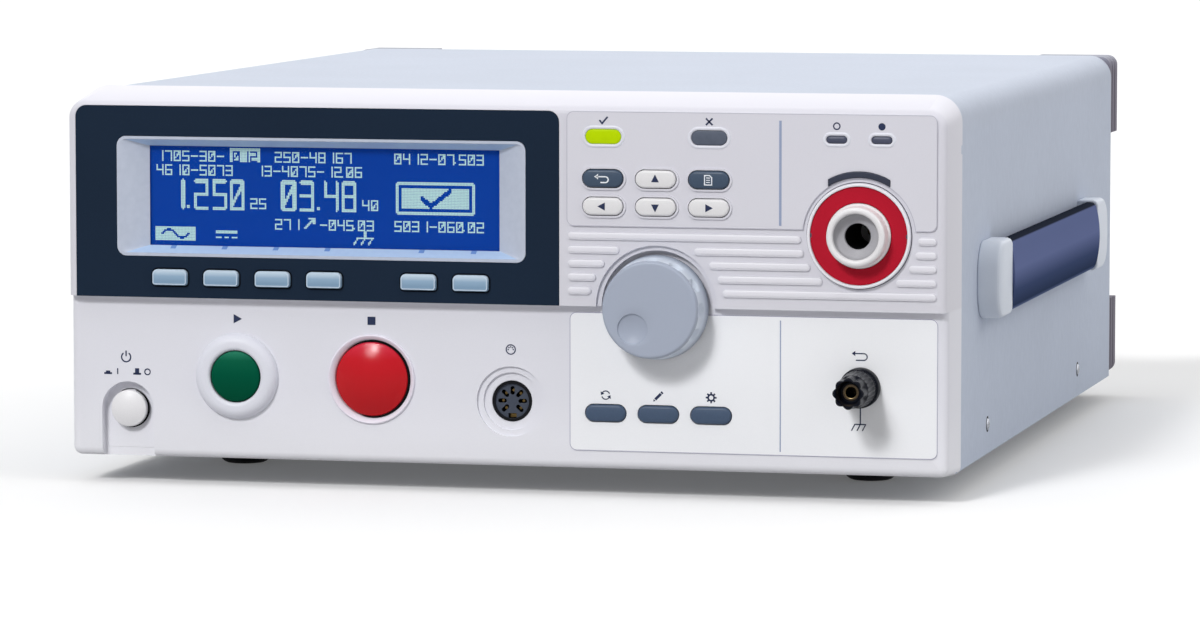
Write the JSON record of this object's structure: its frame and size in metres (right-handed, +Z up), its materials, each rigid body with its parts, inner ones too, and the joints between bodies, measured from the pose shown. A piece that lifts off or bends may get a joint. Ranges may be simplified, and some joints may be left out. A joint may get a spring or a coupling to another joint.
{
  "type": "hipot tester",
  "caption": "Bench hipot tester: moulded front panel with display, keys, knob, push buttons, high voltage socket and return post, wrap-over cover, strap handle and rear guards.",
  "frame": {"origin": "centre of the outer box at the height of the feet's soles", "axes": "+Z up, the front panel faces -Y, +X to the right seen from the front"},
  "size_m": [0.3384, 0.4276, 0.1458],
  "materials": {
    "bezel_plastic": "fine satin texture",
    "navy_panel": "satin film",
    "frame_plastic": "satin",
    "clear_pane": "clear, polished",
    "lcd_screen": "backlit blue screen",
    "label_film": "matt film",
    "lamp_lit": "lit lens",
    "lamp_grey": "unlit lens",
    "red_plastic": "satin",
    "white_plastic": "satin",
    "contact_metal": "plated",
    "dark_lens": "smoked lens",
    "black_plastic": "satin",
    "green_button": "satin",
    "red_button": "gloss",
    "power_plastic": "satin",
    "switch_plastic": "plain",
    "soft_key_plastic": "satin",
    "dark_key_plastic": "satin",
    "light_key_plastic": "satin",
    "function_key_plastic": "satin",
    "knob_plastic": "satin",
    "steel": "plain",
    "board": "solder mask",
    "strap_vinyl": "grained vinyl",
    "strap_cap_plastic": "satin",
    "cover_paint": "fine powder coat",
    "plated_sheet": "plated sheet",
    "rear_paint": "fine powder coat",
    "guard_plastic": "moulded",
    "foot_rubber": "matt",
    "core_steel": "varnished",
    "winding": "taped winding"
  },
  "bodies": {
    "housing": {"front_bezel": "bezel_plastic", "display_panel": "navy_panel", "display_frame": "frame_plastic", "display_pane": "clear_pane", "lcd_module": "lcd_screen", "label_film": "label_film", "pass_lamp": "lamp_lit", "status_lamps": "lamp_grey", "hv_ring": "red_plastic", "hv_collar": "white_plastic", "button_rings": "white_plastic", "hv_contact": "contact_metal", "remote_contacts": "contact_metal", "return_stud": "contact_metal", "hv_indicator": "dark_lens", "remote_socket": "black_plastic", "return_base": "black_plastic", "mains_inlet": "black_plastic", "fan_frame": "black_plastic", "power_switch": "switch_plastic", "key_switches": "switch_plastic", "encoder": "switch_plastic", "housing_screws": "steel", "rear_contacts": "steel", "front_board": "board", "main_board": "board", "strap_ends": "strap_vinyl", "strap_caps": "strap_cap_plastic", "top_cover": "cover_paint", "chassis_tray": "plated_sheet", "rear_panel": "rear_paint", "rear_guards": "guard_plastic", "feet": "foot_rubber", "transformer_core": "core_steel", "transformer_coil": "winding"},
    "soft_key_1": {"soft_key_1": "soft_key_plastic"},
    "soft_key_2": {"soft_key_2": "soft_key_plastic"},
    "soft_key_3": {"soft_key_3": "soft_key_plastic"},
    "soft_key_4": {"soft_key_4": "soft_key_plastic"},
    "soft_key_5": {"soft_key_5": "soft_key_plastic"},
    "soft_key_6": {"soft_key_6": "soft_key_plastic"},
    "back_key": {"back_key": "dark_key_plastic"},
    "up_key": {"up_key": "light_key_plastic"},
    "page_key": {"page_key": "dark_key_plastic"},
    "left_key": {"left_key": "light_key_plastic"},
    "down_key": {"down_key": "light_key_plastic"},
    "right_key": {"right_key": "light_key_plastic"},
    "mode_key": {"mode_key": "function_key_plastic"},
    "edit_key": {"edit_key": "function_key_plastic"},
    "setup_key": {"setup_key": "function_key_plastic"},
    "start_button": {"start_button": "green_button"},
    "stop_button": {"stop_button": "red_button"},
    "power_button": {"power_button": "power_plastic"},
    "return_washer": {"return_washer": "black_plastic"},
    "return_cap": {"return_cap": "black_plastic"},
    "strap_grip": {"strap_grip": "strap_vinyl"},
    "fan_rotor": {"fan_rotor": "black_plastic"},
    "fuse_drawer": {"fuse_drawer": "black_plastic"},
    "knob": {"knob": "knob_plastic", "encoder_shaft": "steel"}
  },
  "joints": [
    {"name": "soft_key_1_press", "type": "slide", "parent": "housing", "child": "soft_key_1", "axis": [0, 1, 0], "range_m": [0, 0.001], "stiffness_N_per_m": 400},
    {"name": "soft_key_2_press", "type": "slide", "parent": "housing", "child": "soft_key_2", "axis": [0, 1, 0], "range_m": [0, 0.001], "stiffness_N_per_m": 400},
    {"name": "soft_key_3_press", "type": "slide", "parent": "housing", "child": "soft_key_3", "axis": [0, 1, 0], "range_m": [0, 0.001], "stiffness_N_per_m": 400},
    {"name": "soft_key_4_press", "type": "slide", "parent": "housing", "child": "soft_key_4", "axis": [0, 1, 0], "range_m": [0, 0.001], "stiffness_N_per_m": 400},
    {"name": "soft_key_5_press", "type": "slide", "parent": "housing", "child": "soft_key_5", "axis": [0, 1, 0], "range_m": [0, 0.001], "stiffness_N_per_m": 400},
    {"name": "soft_key_6_press", "type": "slide", "parent": "housing", "child": "soft_key_6", "axis": [0, 1, 0], "range_m": [0, 0.001], "stiffness_N_per_m": 400},
    {"name": "back_key_press", "type": "slide", "parent": "housing", "child": "back_key", "axis": [0, 1, 0], "range_m": [0, 0.001], "stiffness_N_per_m": 400},
    {"name": "up_key_press", "type": "slide", "parent": "housing", "child": "up_key", "axis": [0, 1, 0], "range_m": [0, 0.001], "stiffness_N_per_m": 400},
    {"name": "page_key_press", "type": "slide", "parent": "housing", "child": "page_key", "axis": [0, 1, 0], "range_m": [0, 0.001], "stiffness_N_per_m": 400},
    {"name": "left_key_press", "type": "slide", "parent": "housing", "child": "left_key", "axis": [0, 1, 0], "range_m": [0, 0.001], "stiffness_N_per_m": 400},
    {"name": "down_key_press", "type": "slide", "parent": "housing", "child": "down_key", "axis": [0, 1, 0], "range_m": [0, 0.001], "stiffness_N_per_m": 400},
    {"name": "right_key_press", "type": "slide", "parent": "housing", "child": "right_key", "axis": [0, 1, 0], "range_m": [0, 0.001], "stiffness_N_per_m": 400},
    {"name": "mode_key_press", "type": "slide", "parent": "housing", "child": "mode_key", "axis": [0, 1, 0], "range_m": [0, 0.001], "stiffness_N_per_m": 400},
    {"name": "edit_key_press", "type": "slide", "parent": "housing", "child": "edit_key", "axis": [0, 1, 0], "range_m": [0, 0.001], "stiffness_N_per_m": 400},
    {"name": "setup_key_press", "type": "slide", "parent": "housing", "child": "setup_key", "axis": [0, 1, 0], "range_m": [0, 0.001], "stiffness_N_per_m": 400},
    {"name": "start_button_press", "type": "slide", "parent": "housing", "child": "start_button", "axis": [0, 1, 0], "range_m": [0, 0.003], "stiffness_N_per_m": 400},
    {"name": "stop_button_press", "type": "slide", "parent": "housing", "child": "stop_button", "axis": [0, 1, 0], "range_m": [0, 0.003], "stiffness_N_per_m": 400},
    {"name": "power_button_press", "type": "slide", "parent": "housing", "child": "power_button", "axis": [0, 1, 0], "range_m": [0, 0.0035], "stiffness_N_per_m": 400},
    {"name": "knob_turn", "type": "hinge", "parent": "housing", "child": "knob", "pos_m": [0.05415, -0.1898, 0.0694], "axis": [0, 1, 0], "continuous": true},
    {"name": "clamp_slide", "type": "slide", "parent": "housing", "child": "return_washer", "axis": [0, -1, 0], "range_m": [0, 0.004]},
    {"name": "cap_turn", "type": "hinge", "parent": "return_washer", "child": "return_cap", "pos_m": [0.1281, -0.1998, 0.042], "axis": [0, -1, 0], "range_deg": [0, 1800]},
    {"name": "strap_lift", "type": "slide", "parent": "housing", "child": "strap_grip", "axis": [1, 0, 0], "range_m": [0, 0.02], "stiffness_N_per_m": 400, "deforming": ["strap_ends"]},
    {"name": "fan_spin", "type": "hinge", "parent": "housing", "child": "fan_rotor", "pos_m": [-0.10915, 0.1802, 0.0882], "axis": [0, 1, 0], "continuous": true},
    {"name": "drawer_slide", "type": "slide", "parent": "housing", "child": "fuse_drawer", "axis": [0, 1, 0], "range_m": [0, 0.016]}
  ],
  "couplings": [
    {"joint": "cap_turn", "follows": "clamp_slide", "rad_per_m": 7854}
  ]
}
